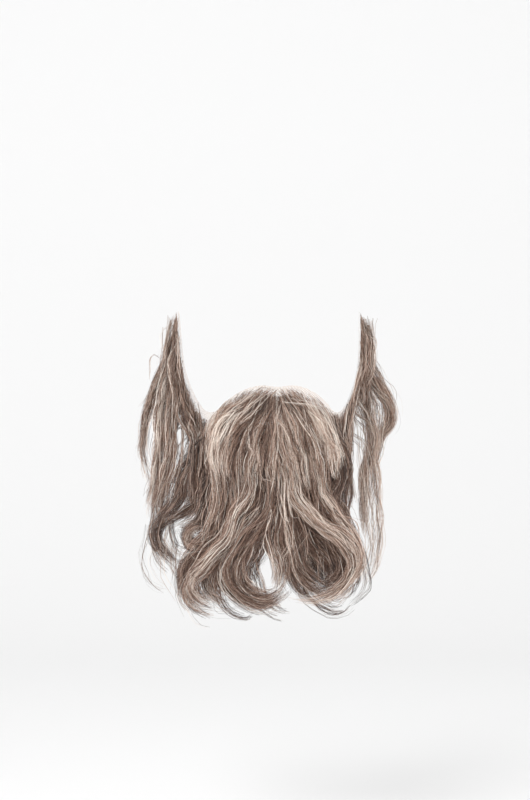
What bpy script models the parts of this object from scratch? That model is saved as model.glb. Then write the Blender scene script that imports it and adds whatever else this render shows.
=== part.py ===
"""A full false beard: a curved lace base and four masses of long wavy hair.

The frame is metres with +Z up. The wearer looks along -Y, and the origin is the point of the chin
that the inside of the lace rests on. Each hair mass is a root mat, just outside the lace, with its
locks fused to it.
"""

import math
from collections import namedtuple

import bmesh
import bpy
import numpy as np
from mathutils import Vector

MM = 0.001

# The face that the lace is shaped to
FACE_HALF_WIDTH = 72 * MM
EAR_DEPTH = 92 * MM
SIDEBURN_RISE = 110 * MM

# The lace
LACE_WALL = 1.0 * MM
MOUTH_HALF_WIDTH = 25 * MM
MOUTH_HEIGHT = 13 * MM
MOUTH_CENTRE_RISE = 27.5 * MM
MOUTH_CUTTER_DEPTH = 55.2 * MM

# The hair
HALF_SPREAD = 100 * MM
BEARD_FALL = 100 * MM
LOCK_WIDTH = 16 * MM
LOCK_THICKNESS = 11 * MM
CURL_RADIUS = 20 * MM
MAT_THICKNESS = 1.5 * MM
MAT_EDGE = 2.5 * MM
SEAT_GAP = 0.4 * MM
CHIN_MAT_STEP = (0.36, 0.46)
MOUSTACHE_MAT_DROOP = (0.15, 0.42)
MOUSTACHE_TURN = 0.41

# The partings that keep one hair mass clear of the next
MASS_GAP = 0.8 * MM
MOUSTACHE_LIFT = 15 * MM
MOUSTACHE_OPENS = 36 * MM
MOUSTACHE_OPEN = 10 * MM
MOUSTACHE_END = -12 * MM
MOUSTACHE_CLEARED = -44 * MM
CLEARING = 15 * MM
LIP_CUTTER_TOP = 60.5 * MM
LIP_CUTTER_TURN = 0.55
LIP_CUTTER_REACH = 60 * MM
PLANE_CUTTER_REACH = 400 * MM
CHEEK_PARTING = 0.555
CHEEK_PARTING_LEAN = math.radians(38)

# How finely the solids are faceted
FACE_COLUMNS = 42
FACE_ROWS = 6
MAT_COLUMN = 0.062
MAT_ROWS = 3
LOCK_SIDES = 6
RING_STEP = 18 * MM
RING_BEND = math.radians(34)
MERGE = 0.001 * MM
QUARTER = math.pi / 2

# Sections of the face by height: height is a share of SIDEBURN_RISE, half_width of FACE_HALF_WIDTH
# and front, the middle's distance behind the chin point, of EAR_DEPTH.
Section = namedtuple("Section", "height half_width front")
FACE = [
    Section(-0.30, 0.48, 0.33),
    Section(-0.22, 0.58, 0.19),
    Section(-0.14, 0.69, 0.07),
    Section(0.00, 0.79, 0.00),
    Section(0.25, 0.89, -0.03),
    Section(0.48, 0.97, -0.07),
    Section(1.02, 1.00, -0.02),
]

# The lace's outline from the middle of the face, turn 0, to the ear, turn 1, which is a quarter of
# the way round. Its two edges are heights, as shares of SIDEBURN_RISE.
Edge = namedtuple("Edge", "turn bottom top")
LACE_OUTLINE = [
    Edge(0.00, -0.20, 0.45),
    Edge(0.12, -0.20, 0.46),
    Edge(0.28, -0.19, 0.41),
    Edge(0.40, -0.17, 0.34),
    Edge(0.50, -0.13, 0.28),
    Edge(0.62, -0.06, 0.31),
    Edge(0.71, 0.05, 0.44),
    Edge(0.78, 0.13, 0.60),
    Edge(0.84, 0.22, 0.82),
    Edge(0.89, 0.32, 0.96),
    Edge(0.97, 0.50, 1.00),
]

# A lock hangs from its root on the face and swings sideways as it falls. turn and rise place the
# root as above, left being negative. fall is the height where it ends or curls, a share of
# BEARD_FALL below the chin. swing gives its distance from the middle at each fifth of that fall,
# as shares of HALF_SPREAD. mid and tip are its depths at two fifths and at the end, as shares of
# EAR_DEPTH. width is a share of LOCK_WIDTH. curl is the angle that its end turns through, positive
# towards the wearer's left, on a radius that is a share of CURL_RADIUS.
Lock = namedtuple("Lock", "turn rise fall swing mid tip width curl radius")

LEFT_WHISKER = [
    Lock(-0.91, 0.90, -0.50, (-0.74, -0.75, -0.76, -0.78, -0.82), 0.86, 0.85, 0.55, 0, 1.0),
    Lock(-0.87, 0.82, -0.30, (-0.73, -0.73, -0.72, -0.71, -0.70), 0.76, 0.72, 0.6, 0, 1.0),
    Lock(-0.93, 0.66, 0.08, (-0.84, -0.90, -0.94, -0.96, -0.93), 0.88, 0.84, 0.55, 35, 1.0),
    Lock(-0.91, 0.56, 0.48, (-0.79, -0.80, -0.80, -0.84, -0.91), 0.80, 0.74, 0.65, 15, 1.2),
    Lock(-0.86, 0.52, 0.44, (-0.74, -0.73, -0.75, -0.80, -0.86), 0.68, 0.60, 0.65, 25, 1.2),
    Lock(-0.78, 0.42, 0.52, (-0.66, -0.61, -0.65, -0.75, -0.86), 0.52, 0.40, 0.7, 95, 1.1),
    Lock(-0.74, 0.27, 0.46, (-0.60, -0.57, -0.60, -0.66, -0.74), 0.46, 0.38, 0.7, 20, 1.0),
    Lock(-0.68, 0.19, 0.46, (-0.54, -0.52, -0.51, -0.51, -0.57), 0.38, 0.32, 0.7, -50, 0.8),
    Lock(-0.90, 0.40, 0.56, (-0.74, -0.75, -0.78, -0.82, -0.87), 0.78, 0.62, 0.65, 80, 1.2),
]

RIGHT_WHISKER = [
    Lock(0.91, 0.91, -0.50, (0.76, 0.77, 0.77, 0.78, 0.79), 0.86, 0.85, 0.55, 0, 1.0),
    Lock(0.86, 0.80, -0.30, (0.74, 0.73, 0.71, 0.69, 0.67), 0.74, 0.62, 0.6, 0, 1.0),
    Lock(0.93, 0.66, 0.04, (0.81, 0.90, 0.95, 0.89, 0.82), 0.88, 0.84, 0.65, 0, 1.0),
    Lock(0.91, 0.60, 0.66, (0.77, 0.80, 0.77, 0.75, 0.72), 0.80, 0.72, 0.6, 0, 1.0),
    Lock(0.92, 0.55, 0.10, (0.79, 0.84, 0.85, 0.82, 0.79), 0.86, 0.82, 0.6, 0, 1.0),
    Lock(0.83, 0.56, 0.12, (0.66, 0.64, 0.63, 0.60, 0.57), 0.56, 0.50, 0.65, 0, 1.0),
    Lock(0.70, 0.27, 0.30, (0.55, 0.53, 0.51, 0.49, 0.46), 0.42, 0.38, 0.7, 0, 1.0),
    Lock(0.86, 0.36, 0.40, (0.72, 0.73, 0.71, 0.69, 0.66), 0.66, 0.56, 0.5, 0, 1.0),
]

CHIN = [
    Lock(-0.49, 0.16, 0.50, (-0.47, -0.48, -0.46, -0.43, -0.45), 0.04, -0.06, 0.8, -150, 0.75),
    Lock(-0.40, 0.12, 0.84, (-0.38, -0.36, -0.40, -0.50, -0.62), -0.02, -0.08, 0.8, 100, 0.85),
    Lock(-0.27, 0.12, 0.80, (-0.25, -0.21, -0.27, -0.38, -0.52), -0.09, -0.12, 0.9, 80, 1.0),
    Lock(-0.12, 0.12, 0.81, (-0.11, -0.07, -0.07, -0.22, -0.36), -0.10, -0.13, 0.9, 135, 1.05),
    Lock(0.01, 0.12, 0.92, (0.01, -0.01, 0.00, 0.04, 0.05), -0.11, -0.13, 0.9, -60, 0.6),
    Lock(0.10, 0.12, 0.78, (0.08, 0.13, 0.22, 0.39, 0.54), -0.10, -0.14, 0.9, -145, 1.0),
    Lock(0.25, 0.12, 0.68, (0.27, 0.30, 0.36, 0.47, 0.56), -0.06, -0.10, 0.9, -90, 1.1),
    Lock(0.39, 0.14, 0.58, (0.40, 0.43, 0.41, 0.42, 0.50), 0.02, -0.02, 0.85, -30, 1.0),
    Lock(-0.36, -0.04, 0.92, (-0.33, -0.34, -0.39, -0.46, -0.53), 0.06, 0.03, 0.9, 95, 0.7),
    Lock(-0.18, -0.03, 0.86, (-0.17, -0.18, -0.22, -0.31, -0.38), 0.02, -0.02, 0.9, 140, 0.7),
    Lock(0.00, -0.03, 0.96, (0.02, 0.08, 0.13, 0.18, 0.20), -0.01, -0.03, 1.0, -50, 0.8),
    Lock(0.19, -0.03, 0.80, (0.19, 0.23, 0.30, 0.40, 0.49), 0.02, -0.02, 0.9, -150, 0.65),
    Lock(0.47, 0.04, 0.52, (0.45, 0.47, 0.46, 0.44, 0.45), 0.16, 0.12, 0.8, 0, 1.0),
    Lock(-0.49, 0.04, 0.60, (-0.47, -0.49, -0.48, -0.49, -0.54), 0.16, 0.12, 0.8, 0, 1.0),
    Lock(0.26, -0.12, 0.62, (0.24, 0.27, 0.29, 0.28, 0.25), 0.13, 0.11, 1.1, 0, 1.0),
    Lock(-0.27, -0.12, 0.56, (-0.25, -0.27, -0.28, -0.27, -0.24), 0.13, 0.11, 1.1, 0, 1.0),
    Lock(0.00, -0.13, 0.64, (-0.02, -0.04, -0.06, -0.08, -0.10), 0.12, 0.10, 1.1, 0, 1.0),
]

MOUSTACHE = [
    Lock(-0.37, 0.345, -0.02, (-0.42, -0.46, -0.48, -0.49, -0.49), 0.02, 0.03, 0.55, 0, 1.0),
    Lock(-0.29, 0.375, -0.01, (-0.33, -0.39, -0.43, -0.44, -0.45), -0.06, -0.05, 0.7, 0, 1.0),
    Lock(-0.20, 0.40, 0.04, (-0.25, -0.32, -0.37, -0.39, -0.40), -0.13, -0.13, 0.75, 0, 1.0),
    Lock(-0.13, 0.41, 0.03, (-0.17, -0.24, -0.29, -0.32, -0.33), -0.17, -0.17, 0.75, 0, 1.0),
    Lock(-0.06, 0.41, 0.02, (-0.09, -0.14, -0.19, -0.23, -0.25), -0.20, -0.20, 0.75, 0, 1.0),
    Lock(-0.01, 0.41, 0.07, (-0.03, -0.04, -0.07, -0.09, -0.10), -0.19, -0.20, 0.75, 0, 1.0),
    Lock(0.05, 0.41, 0.05, (0.04, 0.05, 0.06, 0.07, 0.07), -0.19, -0.20, 0.8, 0, 1.0),
    Lock(0.11, 0.41, 0.03, (0.12, 0.16, 0.19, 0.20, 0.21), -0.18, -0.19, 0.75, 0, 1.0),
    Lock(0.19, 0.40, 0.04, (0.21, 0.26, 0.29, 0.31, 0.31), -0.15, -0.16, 0.75, 0, 1.0),
    Lock(0.27, 0.375, -0.01, (0.29, 0.34, 0.37, 0.38, 0.38), -0.09, -0.10, 0.7, 0, 1.0),
    Lock(0.35, 0.345, -0.02, (0.36, 0.41, 0.44, 0.44, 0.43), -0.01, 0.00, 0.55, 0, 1.0),
]

# A lock's width from root to tip, as shares of its full width
TAPER_AT = (0.0, 0.12, 0.35, 0.7, 0.9, 1.0)
TAPER = (0.55, 0.8, 1.0, 0.9, 0.6, 0.22)
SWING_AT = (0.0, 0.2, 0.4, 0.6, 0.8, 1.0)
DEPTH_AT = (0.0, 0.4, 1.0)

COLLECTION = "false_beard"
GUIDES = "lock_guides"

# Colour as linear red, green and blue, then roughness
LACE_LOOK = ((0.62, 0.42, 0.29), 0.85)
CHIN_LOOK = ((0.25, 0.19, 0.155), 0.55)
MOUSTACHE_LOOK = ((0.31, 0.25, 0.21), 0.5)
WHISKER_LOOK = ((0.19, 0.145, 0.12), 0.55)


def smooth_curve(knots, values, at):
    """A smooth curve through the values at the knots, read at the given places."""
    x = np.asarray(knots, float)
    y = np.asarray(values, float)
    at = np.clip(np.asarray(at, float), x[0], x[-1])
    slope = np.gradient(y, x)
    i = np.clip(np.searchsorted(x, at) - 1, 0, len(x) - 2)
    step = x[i + 1] - x[i]
    t = (at - x[i]) / step
    start = (1 + 2 * t) * (1 - t) ** 2 * y[i] + t * (1 - t) ** 2 * step * slope[i]
    end = t**2 * (3 - 2 * t) * y[i + 1] + t**2 * (t - 1) * step * slope[i + 1]
    return start + end


def column(rows, name):
    return [getattr(row, name) for row in rows]


def smooth_step(low, high, at):
    """0 below low and 1 above high, with an even rise between; low may be the larger."""
    t = np.clip((at - low) / (high - low), 0, 1)
    return t * t * (3 - 2 * t)


def face_section(z):
    """Half width and front depth of the face at a height."""
    heights = column(FACE, "height")
    share = z / SIDEBURN_RISE
    half_width = FACE_HALF_WIDTH * smooth_curve(heights, column(FACE, "half_width"), share)
    front = EAR_DEPTH * smooth_curve(heights, column(FACE, "front"), share)
    return half_width, front


def face_surface(turn, z):
    """The point on the face a share of a quarter turn from its middle, at a height."""
    half_width, front = face_section(z)
    angle = turn * QUARTER
    return np.array([half_width * math.sin(angle), EAR_DEPTH - (EAR_DEPTH - front) * math.cos(angle), z])


def face_point(turn, z, lift=0.0):
    """A point lifted square off the face."""
    if not lift:
        return face_surface(turn, z)
    nudge = 0.002
    across = face_surface(turn + nudge, z) - face_surface(turn - nudge, z)
    up = face_surface(turn, z + nudge * SIDEBURN_RISE) - face_surface(turn, z - nudge * SIDEBURN_RISE)
    normal = np.cross(across, up)
    return face_surface(turn, z) + normal / np.linalg.norm(normal) * lift


def face_depth(x, z, lift):
    """How deep the surface lies, lifted off the face, straight behind a place seen from the front."""
    half_width, front = face_section(z)
    share = np.clip(abs(x) / (half_width + lift), 0, 1)
    return EAR_DEPTH - (EAR_DEPTH - front + lift) * math.sqrt(1 - share**2)


def face_reach(y, z, lift):
    """How far out the surface lies, lifted off the face, at a depth seen from the side."""
    half_width, front = face_section(z)
    share = np.clip((EAR_DEPTH - y) / (EAR_DEPTH - front + lift), 0, 1)
    return (half_width + lift) * math.sqrt(1 - share**2)


def lace_edges(turn):
    """The lace's lower and upper edge at a turn."""
    turns = column(LACE_OUTLINE, "turn")
    bottom = smooth_curve(turns, column(LACE_OUTLINE, "bottom"), abs(turn))
    top = smooth_curve(turns, column(LACE_OUTLINE, "top"), abs(turn))
    return SIDEBURN_RISE * bottom, SIDEBURN_RISE * top


def moustache_lift(z):
    """How far off the face the parting between the moustache and the chin hair lies."""
    return MOUSTACHE_LIFT * smooth_step(MOUSTACHE_OPENS, MOUSTACHE_OPEN, z)


def cheek_parting(x, y):
    """Distance behind the upright plane that parts the whisker from the chin hair, on either side."""
    foot = face_surface(CHEEK_PARTING, 0.0)
    return (abs(x) - foot[0]) * math.sin(CHEEK_PARTING_LEAN) + (y - foot[1]) * math.cos(CHEEK_PARTING_LEAN)


def comb(point, mass, wide, thick):
    """Moves a point of a lock out of the face and onto its own mass's side of the partings.

    wide and thick are how far the lock reaches across and through itself there.
    """
    x, y, z = point
    off_lace = LACE_WALL + SEAT_GAP + 0.5 * MAT_THICKNESS + thick
    past_cheek = (wide + MASS_GAP / 2) / math.cos(CHEEK_PARTING_LEAN)
    past_lip = moustache_lift(z) + thick + MASS_GAP / 2
    within_lip = moustache_lift(z) - thick - MASS_GAP / 2
    from_cheek = cheek_parting(x, y) / math.cos(CHEEK_PARTING_LEAN)
    if mass == "whisker":
        if y < EAR_DEPTH and z > lace_edges(CHEEK_PARTING)[0] - thick:
            x = math.copysign(max(abs(x), face_reach(y, z, off_lace)), x)
        y += max(0.0, past_cheek - from_cheek)
    elif mass == "moustache":
        y = min(y, face_depth(x, z, max(off_lace, past_lip)))
    else:
        y -= max(0.0, past_cheek + from_cheek)
        if z > lace_edges(0.0)[0] - thick:
            y = min(y, face_depth(x, z, off_lace))
        half_width, front = face_section(max(z, 0.0))
        depth = EAR_DEPTH - y
        reach = math.hypot(x / (half_width + within_lip), depth / (EAR_DEPTH - front + within_lip))
        if reach > 1 and within_lip > 0:
            under = smooth_step(MOUSTACHE_CLEARED, MOUSTACHE_END, z)
            shrink = 1 + under * (1 / reach - 1)
            x *= shrink
            y = EAR_DEPTH - depth * shrink
    return np.array([x, y, z])


def lock_line(lock, steps=40):
    """The middle line of a lock from its root to the end of its curl."""
    root = face_point(lock.turn, lock.rise * SIDEBURN_RISE, root_lift(lock))
    t = np.linspace(0, 1, steps)
    x = smooth_curve(SWING_AT, [root[0], *(HALF_SPREAD * s for s in lock.swing)], t)
    y = smooth_curve(DEPTH_AT, [root[1], EAR_DEPTH * lock.mid, EAR_DEPTH * lock.tip], t)
    z = root[2] + (-lock.fall * BEARD_FALL - root[2]) * t
    line = np.stack([x, y, z], axis=1)
    if lock.curl:
        line = np.concatenate([line, curl_line(line, lock)[1:]])
    return line


def curl_line(line, lock, steps=16):
    """The arc that carries on from a line's end, in the plane seen from the front."""
    way = (line[-1] - line[-3])[[0, 2]]
    heading = math.atan2(way[1], way[0])
    side = math.copysign(1.0, lock.curl)
    radius = lock.radius * CURL_RADIUS
    turned = np.linspace(0, math.radians(abs(lock.curl)), steps)
    x = line[-1][0] + radius * side * (np.sin(heading + side * turned) - math.sin(heading))
    z = line[-1][2] - radius * side * (np.cos(heading + side * turned) - math.cos(heading))
    return np.stack([x, np.full(steps, line[-1][1]), z], axis=1)


def root_lift(lock):
    """How far off the face a lock's middle line starts."""
    return LACE_WALL + SEAT_GAP + 0.5 * MAT_THICKNESS + 0.5 * TAPER[0] * lock.width * LOCK_THICKNESS


def spaced(line):
    """The line again with few points where it is straight and more where it bends."""
    steps = np.diff(line, axis=0)
    lengths = np.linalg.norm(steps, axis=1)
    ways = steps / lengths[:, None]
    bends = np.arccos(np.clip(np.sum(ways[1:] * ways[:-1], axis=1), -1, 1))
    amount = np.concatenate([[0], np.cumsum(lengths / RING_STEP + np.append(bends, 0) / RING_BEND)])
    at = np.linspace(0, amount[-1], max(5, math.ceil(amount[-1]) + 1))
    return np.stack([np.interp(at, amount, line[:, k]) for k in range(3)], axis=1)


def lock_rings(lock, mass):
    """The lock's sections: ellipses, wide across its face and thin through it."""
    line = spaced(lock_line(lock))
    along = np.concatenate([[0], np.cumsum(np.linalg.norm(np.diff(line, axis=0), axis=1))])
    share = along / along[-1]
    taper = np.interp(share, TAPER_AT, TAPER) * lock.width
    half_width = taper * LOCK_WIDTH / 2
    half_thick = taper * LOCK_THICKNESS / 2
    line = np.array([comb(*at_ring) for at_ring in zip(line, [mass] * len(line), half_width, half_thick)])
    ways = np.gradient(line, axis=0)
    rings = []
    for point, way, wide, thick in zip(line, ways, half_width, half_thick):
        out = Vector((point[0], point[1] - EAR_DEPTH, 0)).normalized()
        across = Vector(way).cross(out).normalized()
        through = across.cross(Vector(way)).normalized()
        ring = []
        for k in range(LOCK_SIDES):
            angle = 2 * math.pi * k / LOCK_SIDES
            ring.append(Vector(point) + across * wide * math.cos(angle) + through * thick * math.sin(angle))
        rings.append(ring)
    return rings


def new_object(name, mesh, collection):
    thing = bpy.data.objects.new(name, mesh)
    bpy.data.collections[collection].objects.link(thing)
    return thing


def new_collection(name, parent):
    """A collection inside another."""
    made = bpy.data.collections.new(name)
    parent.children.link(made)
    return made


def add_lock(name, lock, mass, collection):
    """One lock as a closed loft through its rings, kept as a guide for its mass's Boolean."""
    bm = bmesh.new()
    rings = [[bm.verts.new(corner) for corner in ring] for ring in lock_rings(lock, mass)]
    for low, high in zip(rings, rings[1:]):
        for k in range(LOCK_SIDES):
            after = (k + 1) % LOCK_SIDES
            bm.faces.new((low[k], low[after], high[after], high[k]))
    bm.faces.new(rings[0])
    bm.faces.new(rings[-1])
    return new_guide(name, bm, collection)


# A sheet that follows the face: the turns of its columns, its number of rows, and its two edges
Sheet = namedtuple("Sheet", "turns rows edges")


def add_face_patch(name, sheet, lift, thickness, collection):
    """A sheet that lies off the face, thickened outwards."""
    mesh = bpy.data.meshes.new(name)
    bm = bmesh.new()
    grid = []
    for turn in sheet.turns:
        bottom, top = sheet.edges(turn)
        heights = np.linspace(bottom, top, sheet.rows + 1)
        grid.append([bm.verts.new(face_point(turn, z, lift)) for z in heights])
    for left, right in zip(grid, grid[1:]):
        for k in range(sheet.rows):
            bm.faces.new((left[k], right[k], right[k + 1], left[k + 1]))
    bm.to_mesh(mesh)
    bm.free()
    patch = new_object(name, mesh, collection)
    wall = patch.modifiers.new("wall", "SOLIDIFY")
    wall.thickness = thickness
    wall.offset = 1
    wall.use_even_offset = True
    return patch


def finish(thing, look):
    """Gives a piece its material and smooth shading."""
    colour, roughness = look
    material = bpy.data.materials.new(thing.name)
    material.use_nodes = True
    shader = material.node_tree.nodes["Principled BSDF"]
    shader.inputs["Base Color"].default_value = (*colour, 1)
    shader.inputs["Roughness"].default_value = roughness
    thing.data.materials.append(material)
    thing.data.shade_smooth()


def cut(thing, cutter):
    change = thing.modifiers.new("cut_" + cutter.name, "BOOLEAN")
    change.operation = "DIFFERENCE"
    change.object = cutter


def as_guide(thing):
    thing.hide_render = True
    thing.display_type = "WIRE"
    return thing


def new_guide(name, bm, collection=GUIDES):
    """A hidden shape that the pieces are joined with or cut by."""
    bmesh.ops.recalc_face_normals(bm, faces=bm.faces)
    mesh = bpy.data.meshes.new(name)
    bm.to_mesh(mesh)
    bm.free()
    return as_guide(new_object(name, mesh, collection))


def add_mouth_cutter():
    """An oval prism that runs through the lace in front of the mouth."""
    bm = bmesh.new()
    bmesh.ops.create_cone(bm, cap_ends=True, segments=24, radius1=1, radius2=1, depth=1)
    cutter = new_guide("mouth_cutter", bm)
    cutter.rotation_euler = (QUARTER, 0, 0)
    cutter.scale = (MOUTH_HALF_WIDTH, MOUTH_HEIGHT / 2, MOUTH_CUTTER_DEPTH)
    cutter.location = (0, 0, MOUTH_CENTRE_RISE)
    return cutter


def add_face_block(name, turns, heights, inner, outer):
    """A block between two distances off the face, each a function of height.

    Below the chin point it hangs straight down.
    """

    def corner(turn, z, lift):
        return face_point(turn, max(z, 0.0), lift(z)) + np.array([0, 0, min(z, 0.0)])

    bm = bmesh.new()
    layers = []
    for lift in (inner, outer):
        layers.append([[bm.verts.new(corner(turn, z, lift)) for z in heights] for turn in turns])
    last_turn, last_height = len(turns) - 1, len(heights) - 1
    for layer in layers:
        for i in range(last_turn):
            for k in range(last_height):
                bm.faces.new((layer[i][k], layer[i + 1][k], layer[i + 1][k + 1], layer[i][k + 1]))
    low, high = layers
    for i in (0, last_turn):
        for k in range(last_height):
            bm.faces.new((low[i][k], low[i][k + 1], high[i][k + 1], high[i][k]))
    for k in (0, last_height):
        for i in range(last_turn):
            bm.faces.new((low[i][k], low[i + 1][k], high[i + 1][k], high[i][k]))
    return new_guide(name, bm)


def add_face_cutter():
    """The space of the face, the lace and its gap, faceted as the lace is and a row past its edges."""

    def past_edges(turn):
        bottom, top = lace_edges(turn)
        row = (top - bottom) / FACE_ROWS
        return bottom - row, top + row

    sheet = Sheet(lace_turns(), FACE_ROWS + 2, past_edges)
    cutter = add_face_patch("face_cutter", sheet, LACE_WALL + SEAT_GAP, CLEARING, GUIDES)
    cutter.modifiers["wall"].offset = -1
    return as_guide(cutter)


def add_plane_cutter(name, side, sign):
    """A box whose one face lies half a gap past the cheek parting, on the side that sign gives."""
    bm = bmesh.new()
    bmesh.ops.create_cube(bm, size=1)
    cutter = new_guide(name, bm)
    foot = face_surface(CHEEK_PARTING, 0.0)
    reach = PLANE_CUTTER_REACH
    away = sign * (reach + MASS_GAP) / 2
    lean = CHEEK_PARTING_LEAN
    cutter.scale = (reach, reach, 2 * reach)
    cutter.rotation_euler = (0, 0, -side * lean)
    cutter.location = (side * (foot[0] + away * math.sin(lean)), foot[1] + away * math.cos(lean), 0)
    return cutter


def lace_turns():
    last = LACE_OUTLINE[-1].turn
    return np.linspace(-last, last, FACE_COLUMNS + 1)


def add_lace():
    sheet = Sheet(lace_turns(), FACE_ROWS, lace_edges)
    lace = add_face_patch("lace_base", sheet, 0.0, LACE_WALL, COLLECTION)
    cut(lace, add_mouth_cutter())
    finish(lace, LACE_LOOK)


def whisker_edges(turn):
    bottom, top = lace_edges(turn)
    return bottom + MAT_EDGE, top - MAT_EDGE


def chin_edges(turn):
    """From just inside the lace's lower edge to below the mouth, and to the cheek beside it."""
    bottom, top = lace_edges(turn)
    below_mouth = MOUTH_CENTRE_RISE - MOUTH_HEIGHT / 2 - MAT_EDGE
    beside = smooth_step(*CHIN_MAT_STEP, abs(turn))
    return bottom + MAT_EDGE, below_mouth + (top - 2 * MAT_EDGE - below_mouth) * beside


def moustache_edges(turn):
    """From just above the mouth to the lace's upper edge, dropping beside the mouth."""
    top = lace_edges(turn)[1] - MAT_EDGE
    above_mouth = MOUTH_CENTRE_RISE + MOUTH_HEIGHT / 2 + MAT_EDGE / 2
    droop = smooth_step(*MOUSTACHE_MAT_DROOP, abs(turn))
    return above_mouth - MAT_EDGE * droop, max(top, above_mouth + 0.5 * MAT_EDGE)


def shells(bm):
    """The separate closed surfaces of a mesh, each a list of faces."""
    left = set(bm.faces)
    found = []
    while left:
        shell = []
        front = [left.pop()]
        while front:
            face = front.pop()
            shell.append(face)
            for edge in face.edges:
                for other in edge.link_faces:
                    if other in left:
                        left.remove(other)
                        front.append(other)
        found.append(shell)
    return found


def back_to_back(bm):
    """The faces that share all their corners with another."""
    found = {}
    for face in bm.faces:
        found.setdefault(frozenset(face.verts), []).append(face)
    return [face for faces in found.values() if len(faces) > 1 for face in faces]


def keep_main_shell(thing):
    """Applies a piece's modifiers and drops the fins, pockets and strays that its Booleans left."""
    graph = bpy.context.evaluated_depsgraph_get()
    mesh = bpy.data.meshes.new_from_object(thing.evaluated_get(graph))
    thing.modifiers.clear()
    bm = bmesh.new()
    bm.from_mesh(mesh)
    bmesh.ops.remove_doubles(bm, verts=bm.verts, dist=MERGE)
    bmesh.ops.dissolve_degenerate(bm, edges=bm.edges, dist=MERGE)
    bmesh.ops.triangulate(bm, faces=bm.faces)
    bmesh.ops.delete(bm, geom=back_to_back(bm), context="FACES")
    found = shells(bm)
    largest = max(found, key=len)
    strays = [face for shell in found if shell is not largest for face in shell]
    bmesh.ops.delete(bm, geom=strays, context="FACES")
    bm.to_mesh(mesh)
    bm.free()
    thing.data = mesh


def mat_turns(first, last):
    """Turns from one to another, about a mat's column apart."""
    return np.linspace(first, last, round((last - first) / MAT_COLUMN) + 1)


def add_mass(name, mass, locks, mat, look, cutters):
    """A hair mass: its root mat with every lock fused to it, trimmed clear of its neighbours."""
    hair = add_face_patch(name, mat, LACE_WALL + SEAT_GAP, MAT_THICKNESS, COLLECTION)
    bundle = new_collection(name + "_locks", bpy.data.collections[GUIDES])
    for index, lock in enumerate(locks):
        add_lock(f"{name}_lock_{index}", lock, mass, bundle.name)
    fuse = hair.modifiers.new("fuse", "BOOLEAN")
    fuse.operation = "UNION"
    fuse.operand_type = "COLLECTION"
    fuse.collection = bundle
    for cutter in cutters:
        cut(hair, cutter)
    keep_main_shell(hair)
    finish(hair, look)


def clear_scene():
    for thing in list(bpy.data.objects):
        bpy.data.objects.remove(thing)
    for name in (COLLECTION, GUIDES):
        new_collection(name, bpy.context.scene.collection)


def add_cutters():
    """The cutters by name, kept clear of the lace and of the partings between the masses."""
    heights = np.linspace(MOUSTACHE_END, LIP_CUTTER_TOP, 2 * FACE_ROWS)
    turns = np.linspace(-LIP_CUTTER_TURN, LIP_CUTTER_TURN, FACE_COLUMNS // 2 + 1)
    off_lace = LACE_WALL + SEAT_GAP

    def in_face(z):
        return -CLEARING

    def under_moustache(z):
        return max(off_lace, moustache_lift(z) + MASS_GAP / 2)

    def over_chin(z):
        return max(off_lace, moustache_lift(z) - MASS_GAP / 2)

    def in_front(z):
        return LIP_CUTTER_REACH

    cutters = {
        "face": add_face_cutter(),
        "lip": add_face_block("lip_cutter", turns, heights, in_face, under_moustache),
        "chin": add_face_block("chin_cutter", turns, heights, over_chin, in_front),
    }
    for label, side in (("left", -1), ("right", 1)):
        cutters[label + "_cheek"] = add_plane_cutter(label + "_cheek_cutter", side, 1)
        cutters[label + "_front"] = add_plane_cutter(label + "_front_cutter", side, -1)
    return cutters


def build():
    clear_scene()
    add_lace()
    cutters = add_cutters()

    def mass(name, kind, locks, mat, look, *labels):
        add_mass(name, kind, locks, mat, look, [cutters[label] for label in labels])

    ear = LACE_OUTLINE[-1].turn - MAT_EDGE / FACE_HALF_WIDTH
    cheek = CHEEK_PARTING
    lip_mat = Sheet(mat_turns(-MOUSTACHE_TURN, MOUSTACHE_TURN), 1, moustache_edges)
    chin_mat = Sheet(mat_turns(-cheek, cheek), MAT_ROWS, chin_edges)
    left_mat = Sheet(mat_turns(-ear, -cheek), MAT_ROWS, whisker_edges)
    right_mat = Sheet(mat_turns(cheek, ear), MAT_ROWS, whisker_edges)
    mass("moustache_hair", "moustache", MOUSTACHE, lip_mat, MOUSTACHE_LOOK, "face", "lip")
    mass("chin_hair", "chin", CHIN, chin_mat, CHIN_LOOK, "face", "chin", "left_cheek", "right_cheek")
    mass("left_whisker", "whisker", LEFT_WHISKER, left_mat, WHISKER_LOOK, "face", "left_front")
    mass("right_whisker", "whisker", RIGHT_WHISKER, right_mat, WHISKER_LOOK, "face", "right_front")


build()
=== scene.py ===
"""The looks of a full false beard: its sheer lace and its long, wavy, greyed brown hair.

Lengths are in millimetres until a mesh is made. A place on the face is given by a turn, from -1
at the ear on the photo's left over 0 at the middle to 1 at the other, and by its height z."""

import math
from collections import namedtuple

import bpy
import numpy as np
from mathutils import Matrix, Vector


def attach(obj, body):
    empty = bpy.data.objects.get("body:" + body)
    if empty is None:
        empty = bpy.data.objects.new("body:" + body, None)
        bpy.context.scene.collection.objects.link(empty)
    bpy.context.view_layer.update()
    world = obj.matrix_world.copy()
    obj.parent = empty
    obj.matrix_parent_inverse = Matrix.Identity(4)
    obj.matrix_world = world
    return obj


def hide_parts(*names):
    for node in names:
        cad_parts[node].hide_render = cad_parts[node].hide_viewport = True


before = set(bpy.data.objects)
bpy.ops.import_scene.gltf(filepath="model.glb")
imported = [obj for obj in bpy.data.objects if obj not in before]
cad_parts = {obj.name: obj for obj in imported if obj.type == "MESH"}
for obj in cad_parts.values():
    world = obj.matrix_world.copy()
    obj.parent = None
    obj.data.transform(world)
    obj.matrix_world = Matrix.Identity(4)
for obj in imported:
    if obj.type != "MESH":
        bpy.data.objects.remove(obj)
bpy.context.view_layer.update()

MM = 0.001
TINY = 1e-9
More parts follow.
